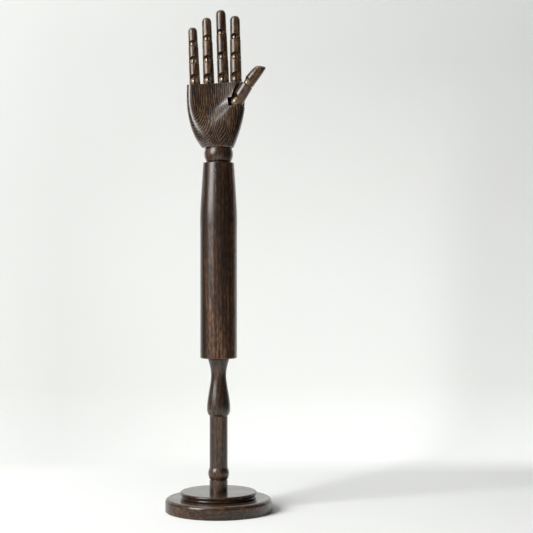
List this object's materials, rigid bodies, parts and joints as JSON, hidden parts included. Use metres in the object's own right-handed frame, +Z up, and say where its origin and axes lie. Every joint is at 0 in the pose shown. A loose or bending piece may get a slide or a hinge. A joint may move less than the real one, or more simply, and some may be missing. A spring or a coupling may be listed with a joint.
{
  "type": "hand mannequin",
  "caption": "Tall articulated wooden hand on a turned post with a round stepped base, with jointed fingers, thumb and wrist for posing or display.",
  "frame": {"origin": "centre of the base's underside", "axes": "+Z up along the post to the fingertips, -Y out of the palm, +X to the thumb"},
  "size_m": [0.145, 0.145, 0.6801],
  "materials": {
    "base_wood": "semi-gloss lacquer over dark stain",
    "post_wood": "semi-gloss lacquer over dark stain",
    "arm_wood": "semi-gloss lacquer over dark stain",
    "palm_wood": "semi-gloss lacquer over dark stain",
    "finger_wood": "semi-gloss lacquer over dark stain",
    "ball_wood": "semi-gloss lacquer over dark stain",
    "steel": "satin"
  },
  "bodies": {
    "stand": {"base_disc": "base_wood", "base_plinth": "base_wood", "post_shaft": "post_wood", "post_baluster": "post_wood", "base_screw": "steel", "forearm": "arm_wood", "forearm_pin": "steel"},
    "wrist_ball": {"wrist_ball": "ball_wood"},
    "wrist_spring": {"wrist_spring": "steel"},
    "palm": {"palm": "palm_wood", "palm_pin": "steel", "knuckle_links": "steel"},
    "little_knuckle": {"little_knuckle_ball": "ball_wood"},
    "little_proximal": {"little_proximal": "finger_wood", "little_proximal_link": "steel", "little_middle_ball": "ball_wood"},
    "little_middle": {"little_middle": "finger_wood", "little_middle_link": "steel", "little_tip_ball": "ball_wood"},
    "little_distal": {"little_distal": "finger_wood", "little_distal_link": "steel"},
    "ring_knuckle": {"ring_knuckle_ball": "ball_wood"},
    "ring_proximal": {"ring_proximal": "finger_wood", "ring_proximal_link": "steel", "ring_middle_ball": "ball_wood"},
    "ring_middle": {"ring_middle": "finger_wood", "ring_middle_link": "steel", "ring_tip_ball": "ball_wood"},
    "ring_distal": {"ring_distal": "finger_wood", "ring_distal_link": "steel"},
    "middle_knuckle": {"middle_knuckle_ball": "ball_wood"},
    "middle_proximal": {"middle_proximal": "finger_wood", "middle_proximal_link": "steel", "middle_middle_ball": "ball_wood"},
    "middle_middle": {"middle_middle": "finger_wood", "middle_middle_link": "steel", "middle_tip_ball": "ball_wood"},
    "middle_distal": {"middle_distal": "finger_wood", "middle_distal_link": "steel"},
    "index_knuckle": {"index_knuckle_ball": "ball_wood"},
    "index_proximal": {"index_proximal": "finger_wood", "index_proximal_link": "steel", "index_middle_ball": "ball_wood"},
    "index_middle": {"index_middle": "finger_wood", "index_middle_link": "steel", "index_tip_ball": "ball_wood"},
    "index_distal": {"index_distal": "finger_wood", "index_distal_link": "steel"},
    "thumb_ball": {"thumb_base_ball": "ball_wood", "thumb_stud": "steel"},
    "thumb_proximal": {"thumb_proximal": "finger_wood", "thumb_proximal_link": "steel", "thumb_tip_ball": "ball_wood"},
    "thumb_distal": {"thumb_distal": "finger_wood", "thumb_distal_link": "steel"}
  },
  "joints": [
    {"name": "wrist_twist", "type": "hinge", "parent": "stand", "child": "wrist_ball", "pos_m": [0, 0, 0.4842], "axis": [0, 0, 1], "range_deg": [-90, 90]},
    {"name": "wrist_side", "type": "hinge", "parent": "wrist_ball", "child": "wrist_spring", "pos_m": [0, 0, 0.4842], "axis": [0, 1, 0], "range_deg": [-25, 25], "deforming": ["wrist_spring"]},
    {"name": "wrist_bend", "type": "hinge", "parent": "wrist_spring", "child": "palm", "pos_m": [0, 0, 0.4842], "axis": [1, 0, 0], "range_deg": [-30, 30], "deforming": ["wrist_spring"]},
    {"name": "little_spread", "type": "hinge", "parent": "palm", "child": "little_knuckle", "pos_m": [-0.03227, 0, 0.58232], "axis": [0, 1, 0], "range_deg": [-6, 3]},
    {"name": "little_knuckle_bend", "type": "hinge", "parent": "little_knuckle", "child": "little_proximal", "pos_m": [-0.03227, 0, 0.58232], "axis": [0.999, 0, 0.0436], "range_deg": [0, 60]},
    {"name": "little_middle_bend", "type": "hinge", "parent": "little_proximal", "child": "little_middle", "pos_m": [-0.03344, 0, 0.60909], "axis": [0.999, 0, 0.0436], "range_deg": [0, 60]},
    {"name": "little_tip_bend", "type": "hinge", "parent": "little_middle", "child": "little_distal", "pos_m": [-0.03447, 0, 0.63267], "axis": [0.999, 0, 0.0436], "range_deg": [0, 50]},
    {"name": "ring_spread", "type": "hinge", "parent": "palm", "child": "ring_knuckle", "pos_m": [-0.01335, 0, 0.58341], "axis": [0, 1, 0], "range_deg": [-2.5, 2.5]},
    {"name": "ring_knuckle_bend", "type": "hinge", "parent": "ring_knuckle", "child": "ring_proximal", "pos_m": [-0.01335, 0, 0.58341], "axis": [0.9993, 0, 0.0366], "range_deg": [0, 60]},
    {"name": "ring_middle_bend", "type": "hinge", "parent": "ring_proximal", "child": "ring_middle", "pos_m": [-0.01434, 0, 0.61059], "axis": [0.9993, 0, 0.0366], "range_deg": [0, 60]},
    {"name": "ring_tip_bend", "type": "hinge", "parent": "ring_middle", "child": "ring_distal", "pos_m": [-0.01541, 0, 0.63957], "axis": [0.9993, 0, 0.0366], "range_deg": [0, 50]},
    {"name": "middle_spread", "type": "hinge", "parent": "palm", "child": "middle_knuckle", "pos_m": [0.00635, 0, 0.58454], "axis": [0, 1, 0], "range_deg": [-2.5, 2.5]},
    {"name": "middle_knuckle_bend", "type": "hinge", "parent": "middle_knuckle", "child": "middle_proximal", "pos_m": [0.00635, 0, 0.58454], "axis": [0.9993, 0, 0.0384], "range_deg": [0, 60]},
    {"name": "middle_middle_bend", "type": "hinge", "parent": "middle_proximal", "child": "middle_middle", "pos_m": [0.00517, 0, 0.61532], "axis": [0.9993, 0, 0.0384], "range_deg": [0, 60]},
    {"name": "middle_tip_bend", "type": "hinge", "parent": "middle_middle", "child": "middle_distal", "pos_m": [0.00392, 0, 0.6477], "axis": [0.9993, 0, 0.0384], "range_deg": [0, 50]},
    {"name": "index_spread", "type": "hinge", "parent": "palm", "child": "index_knuckle", "pos_m": [0.02353, 0, 0.58553], "axis": [0, 1, 0], "range_deg": [-2.5, 5]},
    {"name": "index_knuckle_bend", "type": "hinge", "parent": "index_knuckle", "child": "index_proximal", "pos_m": [0.02353, 0, 0.58553], "axis": [0.9998, 0, 0.0175], "range_deg": [0, 60]},
    {"name": "index_middle_bend", "type": "hinge", "parent": "index_proximal", "child": "index_middle", "pos_m": [0.02301, 0, 0.61513], "axis": [0.9998, 0, 0.0175], "range_deg": [0, 60]},
    {"name": "index_tip_bend", "type": "hinge", "parent": "index_middle", "child": "index_distal", "pos_m": [0.02254, 0, 0.64192], "axis": [0.9998, 0, 0.0175], "range_deg": [0, 50]},
    {"name": "thumb_swing", "type": "hinge", "parent": "palm", "child": "thumb_ball", "pos_m": [0.02433, -0.005, 0.5546], "axis": [0, 0, -1], "range_deg": [0, 40]},
    {"name": "thumb_base_bend", "type": "hinge", "parent": "thumb_ball", "child": "thumb_proximal", "pos_m": [0.02433, -0.005, 0.5546], "axis": [-0.4235, 0.8067, 0.4121], "range_deg": [-15, 0]},
    {"name": "thumb_tip_bend", "type": "hinge", "parent": "thumb_proximal", "child": "thumb_distal", "pos_m": [0.04017, -0.00938, 0.57946], "axis": [-0.4235, 0.8067, 0.4121], "range_deg": [-45, 0]}
  ]
}
